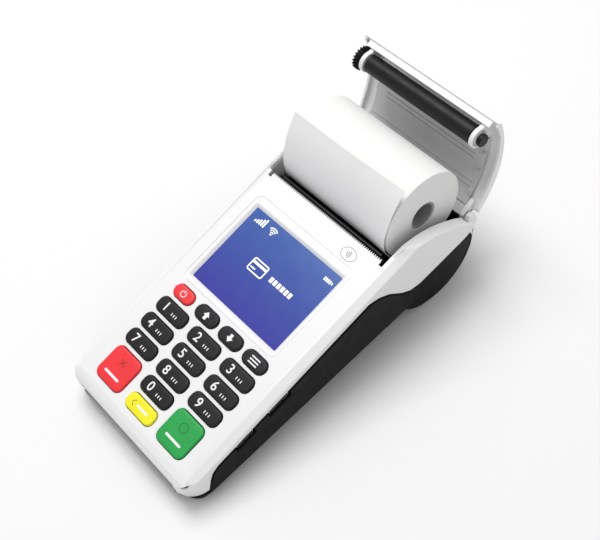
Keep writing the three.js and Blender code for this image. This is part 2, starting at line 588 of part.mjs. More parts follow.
// ---------- screws ----------
screwPlaces.forEach(([x, y], i) => {
  const floor = bottomAt(y);
  const head = solid(discZ(2.35, floor + 0.9, floor + 2.3, [x, y]));
  const shank = solid(discZ(1.15, floor + 1.2, -3.7, [x, y], 12));
  piece(`case_screw_${i + 1}`, geometryOf(head.add(shank)), STEEL, 0.3, 0.9);
});

// ---------- stance ----------
// The base plane touches the two front feet and the rear foot strip. Its normal in the panel frame is
// (sin TILT, cos TILT), found from the front contact point and the circle that the rear strip reaches to.
const FOOT_DROP = 1.2;
const frontContact = [-33.0, bottomAt(-33.0) - FOOT_DROP];
const rearReach = BULGE_R + FOOT_DROP;
const run = SEAT[0] - frontContact[0];
const fall = frontContact[1] - SEAT[1];
const TILT = Math.asin(rearReach / Math.hypot(run, fall)) + Math.atan2(fall, run);
const up = [Math.sin(TILT), Math.cos(TILT)];
const baseHeight = up[0] * frontContact[0] + up[1] * frontContact[1];
const onBase = ([y, z]) => {
  const above = up[0] * y + up[1] * z - baseHeight;
  return [y - up[0] * above, z - up[1] * above];
};

const frontFootTop = [[-28.5, bottomAt(-28.5) - GAP], [-37.5, bottomAt(-37.5) - GAP]];
const frontFootOutline = [...frontFootTop, onBase(frontFootTop[1]), onBase(frontFootTop[0])];
piece("foot_front_left", prismX(frontFootOutline, -27, -15), 0x303030, 0.9);
piece("foot_front_right", prismX(frontFootOutline, 15, 27), 0x303030, 0.9);
const straightDown = 270 - THREE.MathUtils.radToDeg(TILT);
const rearTop = arcPoints(SEAT, BULGE_R + GAP, straightDown - 12, straightDown + 12, 6);
const rearStrip = [...rearTop, onBase(rearTop[6]), onBase(rearTop[0])];
piece("foot_rear", prismX(rearStrip, -27, 27), 0x303030, 0.9);

device.rotation.x = TILT;
device.position.z = -baseHeight;
terminal.updateMatrixWorld(true);
const span = new THREE.Box3().setFromObject(device, true);
device.position.y = -(span.min.y + span.max.y) / 2;
terminal.updateMatrixWorld(true);

export default terminal;
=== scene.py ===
# %% [markdown]
# # Card payment terminal
# A cordless card terminal: a white upper case with a keypad and a display, a black lower case with a
# bulge for the receipt printer, and an open printer cover with its paper roll lifted out.
# The CAD frame gives every piece its size and place. This script rounds the moulded shells, makes new
# keys, paper and printed signs, and gives every surface a procedural material.
# Shapes are drawn in the panel frame: millimetres, x to the right of the keypad, y towards the printer,
# z out of the keypad face, origin in the middle of key 2.

# %% Load the frame
import math

import bmesh
import bpy
import numpy as np
from mathutils import Matrix, Vector


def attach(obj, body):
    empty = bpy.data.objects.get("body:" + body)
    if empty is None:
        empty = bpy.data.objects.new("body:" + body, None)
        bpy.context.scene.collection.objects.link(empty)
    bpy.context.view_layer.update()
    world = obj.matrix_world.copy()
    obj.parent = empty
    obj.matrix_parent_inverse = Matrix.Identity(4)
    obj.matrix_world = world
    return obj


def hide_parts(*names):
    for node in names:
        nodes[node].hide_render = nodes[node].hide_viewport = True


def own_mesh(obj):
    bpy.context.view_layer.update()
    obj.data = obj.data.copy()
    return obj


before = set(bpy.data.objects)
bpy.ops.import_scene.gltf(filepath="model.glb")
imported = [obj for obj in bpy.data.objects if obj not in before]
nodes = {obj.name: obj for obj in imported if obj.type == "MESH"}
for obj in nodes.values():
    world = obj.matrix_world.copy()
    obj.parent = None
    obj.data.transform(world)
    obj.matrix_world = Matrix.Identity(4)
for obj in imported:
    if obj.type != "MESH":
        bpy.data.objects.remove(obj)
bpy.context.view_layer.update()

# %% [markdown]
# ## From the panel frame to the model
# The keypad face leans back, so numbers taken straight in the model would all be tilted ones. It is
# easier to draw on the face itself and let one function carry the points over. The panel leans back by
# TILT about x and its origin sits at SHIFT. The printer cover swings about HINGE: its own shapes are
# drawn closed, where their outlines are plain arcs, and opened by OPEN.

# %% Frames and dimensions
TILT = 0.26689950
SHIFT = np.array([0.0, -41.002139, 27.035730])
HINGE = np.array([105.6, -24.0])
OPEN = math.radians(88)
LIFTED = np.array([90.5, -3.4])
PLATEN = np.array([73.4, -5.2])
ROLL_R, ROLL_HALF = 19.0, 28.5
KEY_TOP = 0.9


def panel(points):
    """Panel millimetres to metres in the frame: turned by TILT about x, then moved by SHIFT."""
    p = np.asarray(points, float)
    y, z = p[..., 1], p[..., 2]
    c, s = math.cos(TILT), math.sin(TILT)
    return (np.stack([p[..., 0], y * c - z * s, y * s + z * c], -1) + SHIFT) / 1000


def to_panel(points):
    """Metres in the frame to panel millimetres, panel() undone: moved by -SHIFT, then turned by -TILT."""
    p = np.asarray(points, float) * 1000 - SHIFT
    y, z = p[..., 1], p[..., 2]
    c, s = math.cos(TILT), math.sin(TILT)
    return np.stack([p[..., 0], y * c + z * s, z * c - y * s], -1)


def opened(points):
    """Closed cover coordinates to panel coordinates: turned by -OPEN about the hinge."""
    p = np.asarray(points, float)
    y, z = p[..., 1] - HINGE[0], p[..., 2] - HINGE[1]
    c, s = math.cos(-OPEN), math.sin(-OPEN)
    return np.stack([p[..., 0], y * c - z * s + HINGE[0], y * s + z * c + HINGE[1]], -1)


print("origin of the panel in the model:", panel([0, 0, 0]))

# %% [markdown]
# ## Materials
# The real case is moulded plastic, glossy where it is white and finely textured where it is black, with
# rubber, steel and copper parts inside. Image textures would need unwrapping; noise needs none. Each
# material mixes two noises in object coordinates: a wide one shifts the colour and the gloss a little, as
# handling and moulding do, and a fine one gives the surface its grain.


# %% Material kit
def shader(name, colour, rough, **sockets):
    """An empty node material with one Principled shader, its constants set on its own sockets."""
    material = bpy.data.materials.new(name)
    material.use_nodes = True
    tree = material.node_tree
    tree.nodes.clear()
    out = tree.nodes.new("ShaderNodeOutputMaterial")
    bsdf = tree.nodes.new("ShaderNodeBsdfPrincipled")
    tree.links.new(bsdf.outputs[0], out.inputs[0])
    bsdf.inputs["Base Color"].default_value = (*colour, 1)
    bsdf.inputs["Roughness"].default_value = rough
    for key, value in sockets.items():
        bsdf.inputs[key.replace("_", " ")].default_value = value
    return material, tree, bsdf


def noise(tree, scale, detail=3.0, vector=None):
    """Noise texture in object coordinates, scale in waves a metre."""
    if vector is None:
        vector = tree.nodes.new("ShaderNodeTexCoord").outputs["Object"]
    texture = tree.nodes.new("ShaderNodeTexNoise")
    texture.inputs["Scale"].default_value = scale
    texture.inputs["Detail"].default_value = detail
    tree.links.new(vector, texture.inputs["Vector"])
    return texture.outputs["Fac"]


def between(tree, value, low, high, start=0.3, end=0.7):
    """Value from start..end carried to low..high."""
    node = tree.nodes.new("ShaderNodeMapRange")
    for socket, number in zip(("From Min", "From Max", "To Min", "To Max"), (start, end, low, high)):
        node.inputs[socket].default_value = number
    tree.links.new(value, node.inputs["Value"])
    return node.outputs[0]


def two_tones(tree, factor, a, b):
    """Colour a where factor is 0 and b where it is 1."""
    node = tree.nodes.new("ShaderNodeMix")
    node.data_type = "RGBA"
    node.inputs["A"].default_value = (*a, 1)
    node.inputs["B"].default_value = (*b, 1)
    tree.links.new(factor, node.inputs["Factor"])
    return node.outputs["Result"]


def bump(tree, bsdf, height, depth, strength=1.0):
    """Grain of that depth in metres on the shader's normal."""
    node = tree.nodes.new("ShaderNodeBump")
    node.inputs["Strength"].default_value = strength
    node.inputs["Distance"].default_value = depth
    tree.links.new(height, node.inputs["Height"])
    tree.links.new(node.outputs[0], bsdf.inputs["Normal"])


def surface(name, colour, rough, spread=0.06, tone=0.05, wide=60, fine=2500, depth=8e-6, **sockets):
    """A moulded, ground or printed surface.

    The colour drifts by tone between two wide patches, the roughness by spread, and grain of that depth
    lies over it. wide and fine are waves a metre.
    """
    material, tree, bsdf = shader(name, colour, rough, **sockets)
    patches = noise(tree, wide)
    darker = tuple(c * (1 - tone) for c in colour)
    paler = tuple(min(1.0, c * (1 + tone)) for c in colour)
    mixed = two_tones(tree, between(tree, patches, 0, 1), darker, paler)
    tree.links.new(mixed, bsdf.inputs["Base Color"])
    handled = noise(tree, wide * 3.7, 5.0)
    tree.links.new(between(tree, handled, rough - spread, rough + spread), bsdf.inputs["Roughness"])
    bump(tree, bsdf, noise(tree, fine, 2.0), depth)
    return material


print("material kit ready")

# %% [markdown]
# ## Case, key and inner materials
# Each finish is one call: a colour, a roughness and how far both drift. The white case is the smoothest
# and drifts least, the black one has the deepest grain. The keys are coloured through, and the dark
# plastics get a low specular level, because a fine texture scatters most of what they reflect.

# %% Case, key and inner materials
WHITE = surface("white_shell", (0.88, 0.88, 0.885), 0.32, 0.025, 0.01, 45, 1800, 4e-6)
BLACK = surface("black_shell", (0.0055, 0.0055, 0.006), 0.6, 0.05, 0.12, 50, 2600, 3e-5,
                Specular_IOR_Level=0.14)
KEY_DARK = surface("key_dark", (0.011, 0.011, 0.012), 0.45, 0.05, 0.1, 120, 3000, 1.2e-5,
                   Specular_IOR_Level=0.28)
KEY_RED = surface("key_red", (0.88, 0.025, 0.035), 0.4, 0.05, 0.04, 120, 3000, 1e-5)
KEY_YELLOW = surface("key_yellow", (0.93, 0.86, 0.01), 0.4, 0.05, 0.03, 120, 3000, 1e-5)
KEY_GREEN = surface("key_green", (0.008, 0.37, 0.065), 0.4, 0.05, 0.05, 120, 3000, 1e-5)
PRINT_WHITE = surface("print_white", (0.9, 0.9, 0.9), 0.5, 0.05, 0.02, 300, 4000, 3e-6)
PRINT_GREY = surface("print_grey", (0.06, 0.06, 0.065), 0.5, 0.05, 0.05, 300, 4000, 3e-6)
LINER = surface("liner_grey", (0.66, 0.66, 0.662), 0.45, 0.06, 0.05, 70, 2000, 1.5e-5)
SKIRT = surface("skirt_grey", (0.5, 0.5, 0.505), 0.4, 0.06, 0.05, 70, 2000, 1e-5)
RUBBER = surface("black_rubber", (0.01, 0.01, 0.011), 0.42, 0.08, 0.15, 90, 3500, 2e-5,
                 Specular_IOR_Level=0.25)
GEAR = surface("gear_black", (0.004, 0.004, 0.004), 0.45, 0.08, 0.1, 200, 3000, 1e-5,
               Specular_IOR_Level=0.25)
GEAR_PALE = surface("gear_pale", (0.05, 0.05, 0.048), 0.45, 0.05, 0.04, 200, 3000, 1e-5)
STEEL = surface("steel", (0.6, 0.6, 0.62), 0.3, 0.1, 0.06, 150, 5000, 6e-6, Metallic=1.0)
BOARD = surface("circuit_board", (0.02, 0.16, 0.06), 0.4, 0.05, 0.1, 150, 1200, 2e-5)
CORE = surface("core_card", (0.34, 0.34, 0.335), 0.8, 0.05, 0.08, 200, 1800, 2e-5)
CERAMIC = surface("head_ceramic", (0.012, 0.01, 0.008), 0.35, 0.05, 0.1, 200, 900, 5e-6,
                  Specular_IOR_Level=0.2)
COPPER = surface("copper", (0.45, 0.2, 0.09), 0.35, 0.08, 0.08, 150, 2500, 8e-6, Metallic=1.0)
# This black serves the print head frame and, as painted shade, the gap under the serrated bar.
DARK = surface("well_black_and_gap_shade", (0.003, 0.003, 0.003), 0.7, 0.06, 0.1, 60, 2600, 2e-5,
               Specular_IOR_Level=0.15)
print("materials:", len(bpy.data.materials))

# %% [markdown]
# ## Paper
# Thermal paper is smooth and faintly warm. The coil's ends show its windings as fine rings round the
# axis. Modelling hundreds of layers would be wasteful, so the rings are in the material: its colour and
# grain there depend only on the distance from the axis.


# %% Paper materials
def coil_material():
    """Paper whose end faces carry rings: noise of the distance from the coil's axis."""
    material, tree, bsdf = shader("paper_coil", (0.88, 0.88, 0.87), 0.62)
    where = tree.nodes.new("ShaderNodeTexCoord").outputs["Object"]
    centre = panel([0, *LIFTED])
    offset = tree.nodes.new("ShaderNodeVectorMath")
    offset.operation = "SUBTRACT"
    offset.inputs[1].default_value = (0, centre[1], centre[2])
    tree.links.new(where, offset.inputs[0])
    flat = tree.nodes.new("ShaderNodeVectorMath")
    flat.operation = "MULTIPLY"
    flat.inputs[1].default_value = (0, 1, 1)
    tree.links.new(offset.outputs[0], flat.inputs[0])
    length = tree.nodes.new("ShaderNodeVectorMath")
    length.operation = "LENGTH"
    tree.links.new(flat.outputs[0], length.inputs[0])
    across = tree.nodes.new("ShaderNodeCombineXYZ")
    tree.links.new(length.outputs["Value"], across.inputs[0])
    rings = noise(tree, 2600, 4.0, across.outputs[0])
    tones = two_tones(tree, between(tree, rings, 0, 1), (0.84, 0.84, 0.835), (0.9, 0.9, 0.89))
    tree.links.new(tones, bsdf.inputs["Base Color"])
    tree.links.new(between(tree, noise(tree, 300), 0.55, 0.7), bsdf.inputs["Roughness"])
    bump(tree, bsdf, rings, 2e-5)
    return material


PAPER_COIL = coil_material()
PAPER = surface("paper_sheet", (0.88, 0.88, 0.878), 0.6, 0.05, 0.012, 90, 5000, 4e-6)
print("paper materials:", PAPER_COIL.name, PAPER.name)

# %% [markdown]
# ## Lit display
# The display gives off its own light, so its picture is an emission colour and not paint. It runs from
# violet near the keys to sky blue at the far edge, and a thin gloss over it still reflects the room.


# %% Display material
def display_material():
    """Backlit picture: blue that runs from sky at the far edge to violet at the near one."""
    material, tree, bsdf = shader("display_picture", (0.006, 0.008, 0.02), 0.18, Specular_IOR_Level=0.3)
    where = tree.nodes.new("ShaderNodeTexCoord").outputs["Object"]
    split = tree.nodes.new("ShaderNodeSeparateXYZ")
    tree.links.new(where, split.inputs[0])
    low, high = panel([0, 16, -2])[1], panel([0, 53, -2])[1]
    along = between(tree, split.outputs[1], 0, 1, low, high)
    colour = two_tones(tree, along, (0.05, 0.048, 0.35), (0.045, 0.12, 0.41))
    tree.links.new(colour, bsdf.inputs["Emission Color"])
    bsdf.inputs["Emission Strength"].default_value = 1.0
    tree.links.new(between(tree, noise(tree, 200), 0.15, 0.22), bsdf.inputs["Roughness"])
    return material


DISPLAY = display_material()
ICON = surface("icon_white", (0.8, 0.8, 0.85), 0.3, 0.03, 0.02, 300, 3000, 1e-6,
               Emission_Color=(0.8, 0.82, 0.9, 1), Emission_Strength=0.75)
print("display materials ready")

# %% [markdown]
# ## Making a piece
# New pieces come from arrays of points and faces, computed at once and handed to from_pydata. Sculpting
# or editing by hand would do too, but numbers can be read and changed later. A piece rides on the body it
# moves with, and says which CAD node it stands for, if any.


# %% Piece maker
def finish_mesh(mesh, angle=35):
    """Smooth shading with edges sharper than angle kept sharp."""
    mesh.polygons.foreach_set("use_smooth", np.ones(len(mesh.polygons), bool))
    mesh.set_sharp_from_angle(angle=math.radians(angle))
    mesh.update()


def make(name, points, faces, material, body, angle=35, stands_for=()):
    """A piece from panel points and faces, riding on a body of the frame."""
    mesh = bpy.data.meshes.new(name)
    mesh.from_pydata(panel(points), [], faces)
    mesh.validate()
    finish_mesh(mesh, angle)
    mesh.materials.append(material)
    piece = bpy.data.objects.new(name, mesh)
    bpy.context.scene.collection.objects.link(piece)
    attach(piece, body)
    if stands_for:
        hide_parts(*stands_for)
    return piece


print("piece maker ready")

# %% [markdown]
# ## Outlines and lofted bodies
# Most small pieces are an outline carried from one level to the next. The points lie on a grid of levels
# by places round the outline, so the quads between them follow from the index alone and need no search.


# %% Outlines and lofted bodies
def strip_faces(rings, count, closed=True):
    """Quads between successive rings of count points each, as index rows."""
    i = np.arange(rings - 1)[:, None] * count
    j = np.arange(count if closed else count - 1)[None, :]
    k = (j + 1) % count
    quads = np.stack([i + j, i + k, i + k + count, i + j + count], -1)
    return quads.reshape(-1, 4).tolist()


def lofted(rings):
    """Points and faces of a closed body through rings of equal count, capped at both ends."""
    rings = np.asarray(rings, float)
    levels, count = rings.shape[:2]
    faces = strip_faces(levels, count)
    faces.append(list(range(count))[::-1])
    faces.append(list(range((levels - 1) * count, levels * count)))
    return rings.reshape(-1, 3), faces


def rounded_loop(cx, cy, width, height, radius, steps=8):
    """Rounded rectangle in x and y, anticlockwise: four arcs of the radius joined by straight sides."""
    radius = min(radius, width / 2 - 0.01, height / 2 - 0.01)
    turn = np.linspace(0, math.pi / 2, steps + 1)
    corners = [(1, 1, 0), (-1, 1, 1), (-1, -1, 2), (1, -1, 3)]
    arcs = []
    for sx, sy, quarter in corners:
        a = turn + quarter * math.pi / 2
        arcs.append(np.stack([cx + sx * (width / 2 - radius) + radius * np.cos(a),
                              cy + sy * (height / 2 - radius) + radius * np.sin(a)], -1))
    return np.concatenate(arcs)


def at_height(loop, z):
    """Plane loop raised to z."""
    return np.column_stack([loop, np.full(len(loop), z)])


def plate(loops, z0, z1):
    """Thin closed slabs between z0 and z1 over each outline; returns one set of points and faces."""
    points, faces, base = [], [], 0
    for loop in loops:
        p, f = lofted([at_height(loop, z0), at_height(loop, z1)])
        points.append(p)
        faces += [[i + base for i in face] for face in f]
        base += len(p)
    return np.concatenate(points), faces


print("a rounded outline has", len(rounded_loop(0, 0, 2, 2, 0.5)), "points")

# %% [markdown]
# ## Rounding a CAD piece
# A CAD mesh is made of loose triangles, which a bevel can't follow. A copy is merged and its flat pairs
# joined first, then every edge is measured: how far its two faces turn and where it lies. Sharp edges get
# a bevel weight from that, and the modifier does the rest.


# %% Rounding a CAD piece
def edge_bends(mesh):
    """For every edge, the angle between its two faces in radians and its middle in panel millimetres."""
    loops = len(mesh.loops)
    edge_of, total = np.empty(loops, int), np.empty(len(mesh.polygons), int)
    mesh.loops.foreach_get("edge_index", edge_of)
    mesh.polygons.foreach_get("loop_total", total)
    normal = np.empty(len(mesh.polygons) * 3)
    mesh.polygons.foreach_get("normal", normal)
    normal = normal.reshape(-1, 3)
    face_of = np.repeat(np.arange(len(total)), total)
    order = np.argsort(edge_of, kind="stable")
    edges, first, count = np.unique(edge_of[order], return_index=True, return_counts=True)
    two = count == 2
    one, other = face_of[order][first[two]], face_of[order][first[two] + 1]
    bend = np.zeros(len(mesh.edges))
    bend[edges[two]] = np.arccos(np.clip((normal[one] * normal[other]).sum(1), -1, 1))
    ends = np.empty(len(mesh.edges) * 2, int)
    mesh.edges.foreach_get("vertices", ends)
    spots = np.empty(len(mesh.vertices) * 3)
    mesh.vertices.foreach_get("co", spots)
    middle = spots.reshape(-1, 3)[ends.reshape(-1, 2)].mean(1)
    return bend, to_panel(middle)


def clean_copy(node):
    """Mesh of a CAD node with its loose triangles merged and flat pairs of them joined into quads."""
    work = bmesh.new()
    work.from_mesh(nodes[node].data)
    work.transform(nodes[node].matrix_world)
    bmesh.ops.remove_doubles(work, verts=work.verts, dist=2e-6)
    bmesh.ops.join_triangles(work, faces=work.faces, angle_face_threshold=math.radians(0.5),
                             angle_shape_threshold=math.radians(180))
    mesh = bpy.data.meshes.new(node + "_look")
    work.to_mesh(mesh)
    work.free()
    return mesh


def shell(node, material, body, width, weigh=None, segments=2, angle=28):
    """A CAD node with rounded edges.

    Edges bent by more than angle get a bevel of width millimetres times weigh(middle), where middle is
    the edge's midpoint in panel millimetres and weigh gives numbers from 0 to 1.
    """
    mesh = clean_copy(node)
    finish_mesh(mesh, angle)
    mesh.materials.clear()
    mesh.materials.append(material)
    bend, middle = edge_bends(mesh)
    share = np.ones(len(bend)) if weigh is None else weigh(middle)
    share = np.where(bend > math.radians(angle), share, 0.0)
    mesh.attributes.new("bevel_weight_edge", "FLOAT", "EDGE").data.foreach_set("value", share)
    piece = bpy.data.objects.new(node + "_look", mesh)
    bpy.context.scene.collection.objects.link(piece)
    bevel = piece.modifiers.new("rounding", "BEVEL")
    bevel.limit_method = "WEIGHT"
    bevel.width = width / 1000
    bevel.segments = segments
    bevel.use_clamp_overlap = False
    bevel.harden_normals = True
    bevel.miter_outer = "MITER_ARC"
    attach(piece, body)
    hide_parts(node)
    return piece


def dress(material, *names):
    """CAD nodes that need no new shape get their material only."""
    for name in names:
        nodes[name].data.materials.clear()
        nodes[name].data.materials.append(material)


print("rounding kit ready")

# %% [markdown]
# ## Case halves
# The body is two mouldings. Moulded edges are never sharp, and their rounding catches the light. It could
# be modelled into the solid, but a weighted bevel on the CAD mesh can vary from edge to edge: wide along
# the outer edges, narrow at the card slot, and only a hair line at the key holes.


# %% Case halves
SLOT_HALF = 29.6


def case_share(middle):
    """Bevel share of the top case: outer edges 1, slot's lips 0.2, below the face 0.5, on it 0.25."""
    x, y, z = middle.T
    outer = (np.abs(x) > 33.6) | (y < -41)
    slot = (y < -43) & (np.abs(x) < SLOT_HALF) & (z < -3.2)
    return np.where(slot, 0.2, np.where(outer, 1.0, np.where(z < -4.5, 0.5, 0.25)))


def base_share(middle):
    """Bevel share of the lower case: none where the bulge starts, outer edges 1, the others 0.4."""
    x, y, z = middle.T
    bulge_start = (y > 46) & (y < 72) & (z < -22)
    outer = (np.abs(x) > 33) & (y < 100)
    return np.where(bulge_start, 0.0, np.where(outer, 1.0, 0.4))


top_case = shell("top_case", WHITE, "case", 0.6, case_share, 3)
lower_case = shell("lower_case", BLACK, "case", 0.6, base_share, 3)
print("case halves:", top_case.name, lower_case.name)

# %% [markdown]
# ## Smaller mouldings and metal parts
# The cover, feet, bushings and gears are small mouldings, so an even, narrow bevel is enough. Parts that
# sit inside, such as boards and screws, keep their CAD shape and only get a material.

# %% Smaller mouldings and metal parts
cover_shell = shell("cover_shell", WHITE, "cover", 0.25)
shell("cover_liner", LINER, "cover", 0.15)
shell("battery_door", BLACK, "case", 0.4)
shell("print_head_frame", DARK, "case", 0.2)
for name in ("foot_front_left", "foot_front_right", "foot_rear"):
    shell(name, RUBBER, "case", 0.3)
for name in ("platen_bushing_left", "platen_bushing_right"):
    shell(name, WHITE, "cover", 0.2)
shell("platen_end_cap", GEAR, "platen", 0.25)
shell("platen_gear", GEAR, "platen", 0.08)
shell("platen_roller", RUBBER, "platen", 0.25, segments=3)
shell("paper_core", CORE, "paper_carrier", 0.15)
shell("lcd_panel", DISPLAY, "case", 0.1)
dress(STEEL, "lcd_backing", "usb_port", "power_port", "stepper_motor", "motor_shaft", "reduction_pin",
      "platen_shaft", "hinge_pin_left", "hinge_pin_right", *(f"case_screw_{i}" for i in range(1, 5)))
dress(BOARD, "keypad_board", "main_board")
dress(SKIRT, "keypad_mat", "battery_pack", "chip_card_reader")
dress(GEAR, "speaker")
dress(COPPER, "contactless_antenna")
dress(CERAMIC, "print_head")
dress(GEAR_PALE, "motor_pinion", "reduction_gear")
print("smaller mouldings, from", cover_shell.name, "on")

# %% [markdown]
# ## Display frame
# A white frame slopes down to the display. Its section is a short chain of corners carried round a
# rounded rectangle: up the outside, over the rim and down the slope. Lofting rings keeps the opening
# clean, where cutting a hole in a plate would leave long thin faces.

# %% Display frame
SCREEN = (-1.2, 34.3)
FRAME_MIDDLE = (-1.2, 35.1)
FRAME_WIDTH, FRAME_HEIGHT, FRAME_CORNER = 54.2, 43.8, 2.8
LIT_WIDTH, LIT_HEIGHT, LIT_CORNER = 49.05, 36.85, 0.5
OUTSIDE = ((-0.5, -1.3), (-0.5, -0.26), (0, -0.24), (0, -0.2), (0.3, -0.1))
SLOPE = ((2.6, -0.12), (2.2, -0.22), (0.1, -1.22), (0, -1.3))
bezel_rings = [at_height(rounded_loop(*FRAME_MIDDLE, FRAME_WIDTH - d, FRAME_HEIGHT - d, FRAME_CORNER), z)
               for d, z in OUTSIDE]
bezel_rings += [at_height(rounded_loop(*SCREEN, LIT_WIDTH + d, LIT_HEIGHT + d, LIT_CORNER + d / 3), z)
                for d, z in SLOPE]
bezel_points, _ = lofted(bezel_rings)
bezel_faces = np.array(strip_faces(len(bezel_rings) + 1, len(bezel_rings[0]))) % len(bezel_points)
make("display_bezel_look", bezel_points, bezel_faces.tolist(), WHITE, "case", 25, ["display_bezel"])
print("display frame:", len(bezel_rings), "rings")

# %% [markdown]
# ## Serrated bar
# The receipt is torn against a row of small teeth. The bar is one outline that zigzags along its far side,
# carried up into a thin solid, because an array of separate teeth would leave inner walls. A dark bar
# under it is painted shade: it stands for the shadow in the gap that the paper comes out of.

# %% Serrated bar
TEETH, BAR_HALF = 62, 30.6
BAR_NEAR, VALLEY, TIP = 65.0, 66.2, 67.4
ridge_x = BAR_HALF - np.arange(2 * TEETH + 1) * BAR_HALF / TEETH
ridge_y = np.where(np.arange(2 * TEETH + 1) % 2, TIP, VALLEY)
near_side = [[-BAR_HALF, BAR_NEAR], [BAR_HALF, BAR_NEAR]]
bar_outline = np.concatenate([near_side, np.stack([ridge_x, ridge_y], -1)])
bar_points, bar_faces = lofted([at_height(bar_outline, -0.5), at_height(bar_outline, -0.03)])
make("tear_bar_look", bar_points, bar_faces, WHITE, "case", 20, ["tear_bar"])
# Painted shade: a dark plate under the teeth stands for the shadow in the paper's exit gap.
gap_shade_points, gap_shade_faces = plate([rounded_loop(0, 65.5, 2 * BAR_HALF, 1.0, 0.1)], -1.9, -0.55)
make("tear_bar_gap_shade", gap_shade_points, gap_shade_faces, DARK, "case")
print("teeth:", TEETH)

# %% [markdown]
# ## Cap on the platen's right end
# The rubber platen ends in a small round cap with a softened rim. Three rings about the platen's axis
# make it; they are drawn with the cover closed and opened with the rest.

# %% Platen cap
CAP_SIDES = 24
cap_turn = np.linspace(0, 2 * math.pi, CAP_SIDES, False)
cap = np.array([np.column_stack([np.full(CAP_SIDES, x), PLATEN[0] + r * np.cos(cap_turn),
                                 PLATEN[1] + r * np.sin(cap_turn)])
                for x, r in ((31.0, 2.55), (31.95, 2.55), (32.1, 2.4))])
cap_points, cap_faces = lofted(opened(cap))
make("platen_cap_face", cap_points, [f[::-1] for f in cap_faces], GEAR, "platen", 40)
print("cap points:", len(cap_points))

# %% [markdown]
# ## Painted shade and a second colour on the mouldings
# The card slot's throat is painted grey as painted shade, standing for the shadow in its recess, and the
# lower case carries white ends beside the hinge. Splitting the mesh would open seams, so the faces stay
# together and some of them take a second material.


# %% Second materials
def repaint(piece, material, where):
    """Gives the faces whose centre in panel millimetres passes where() a second material."""
    centres = np.empty(len(piece.data.polygons) * 3)
    piece.data.polygons.foreach_get("center", centres)
    spots = to_panel(centres.reshape(-1, 3))
    piece.data.materials.append(material)
    slots = np.zeros(len(spots), np.int32)
    slots[where(*spots.T)] = len(piece.data.materials) - 1
    piece.data.polygons.foreach_set("material_index", slots)
    print("repainted", int((slots > 0).sum()), "faces of", piece.name)


def in_slot(x, y, z):
    """True inside the card slot in the nose, where the grey painted shade goes."""
    return (np.abs(x) < SLOT_HALF) & (y < -43.2) & (z < -3.6)


def beside_hinge(x, y, z):
    """True at the two ends of the lower case beside the hinge."""
    return (np.abs(x) > 32.2) & (y > 101.5) & (y < 108.6) & (z > -30.5)


# Painted shade: this grey on the slot's throat stands for the shadow inside its recess.
SLOT_SHADE = surface("slot_painted_shade", (0.42, 0.42, 0.425), 0.4, 0.04, 0.02, 70, 2000, 5e-6)
repaint(top_case, SLOT_SHADE, in_slot)
repaint(lower_case, WHITE, beside_hinge)

# %% [markdown]
# ## Inside of the cover
# The open cover shows its lip, four ribs across that stiffen it and three small hooks at its right side.
# Each is a four-cornered outline in y and z, set against the cover's arc and carried along x.

# %% Inside of the cover
ARCH, ARCH_R = np.array([69.09, -38.03]), 40.65
LIP = [(69.0, -1.2), (70.2, -0.9), (69.9, 2.7), (68.5, 2.5)]
LIP_HALF = 31.9
RIBS = ((36, 27.5), (39, 27.5), (53, 24.0), (56, 24.0))
RIB_FOOT, RIB_TOP, RIB_DEGREES = 2.15, 2.45, 0.35
HOOKS = (32, 45, 58)
HOOK_X = (27.6, 29.3)


def on_arch(inset, degrees):
    """Point of the closed cover's arc, that many millimetres inside its outer skin."""
    a = np.radians(degrees)
    return ARCH + (ARCH_R - inset) * np.stack([np.cos(a), np.sin(a)], -1)


def bar_across(name, outline, x0, x1, material, body, angle=30):
    """Closed cover outline in y and z carried from x0 to x1, then opened."""
    outline = np.asarray(outline, float)
    ends = np.array([np.column_stack([np.full(len(outline), x), outline]) for x in (x0, x1)])
    points, faces = lofted(opened(ends))
    return make(name, points, faces, material, body, angle)


bar_across("cover_lip", LIP, -LIP_HALF, LIP_HALF, WHITE, "cover")
for i, (a, half) in enumerate(RIBS):
    corners = [on_arch(RIB_FOOT, a), on_arch(RIB_FOOT, a + RIB_DEGREES),
               on_arch(RIB_TOP, a + RIB_DEGREES), on_arch(RIB_TOP, a)]
    bar_across(f"cover_rib_{i + 1}", corners, -half, half, SKIRT, "cover")
for i, a in enumerate(HOOKS):
    corners = [on_arch(2.1, a), on_arch(2.1, a + 4.5), on_arch(4.0, a + 3.6), on_arch(3.2, a)]
    bar_across(f"cover_hook_{i + 1}", corners, *HOOK_X, LINER, "cover")
print("inside of the cover: lip,", len(RIBS), "ribs,", len(HOOKS), "hooks")

# %% [markdown]
# ## Keys
# The keys are hard caps on a rubber mat, each with a rounded shoulder and a nearly flat top. A bevelled
# box would do for one key. Here one profile of (inset, height) pairs serves all of them: a rounded
# rectangle is carried up it, straight at the sides, then a quarter round, then the top.

# %% Keys
SHOULDER = 0.55
turns = np.linspace(0, math.pi / 2, 6)
KEY_PROFILE = [(0, -2.7), (0, -0.6)]
KEY_PROFILE += [(SHOULDER * (1 - math.cos(a)), KEY_TOP - SHOULDER * (1 - math.sin(a))) for a in turns]
KEY_PROFILE += [(1.3, KEY_TOP + 0.015), (2.4, KEY_TOP + 0.02)]


def key_body(name, x, y, width, height, radius, material):
    """Lofts the key's rounded rectangle through the key profile."""
    rings = [at_height(rounded_loop(x, y, width - 2 * d, height - 2 * d, max(radius - d, 0.35)), z)
             for d, z in KEY_PROFILE]
    points, faces = lofted(rings)
    return make(name + "_look", points, faces, material, name + "_cap", stands_for=[name])


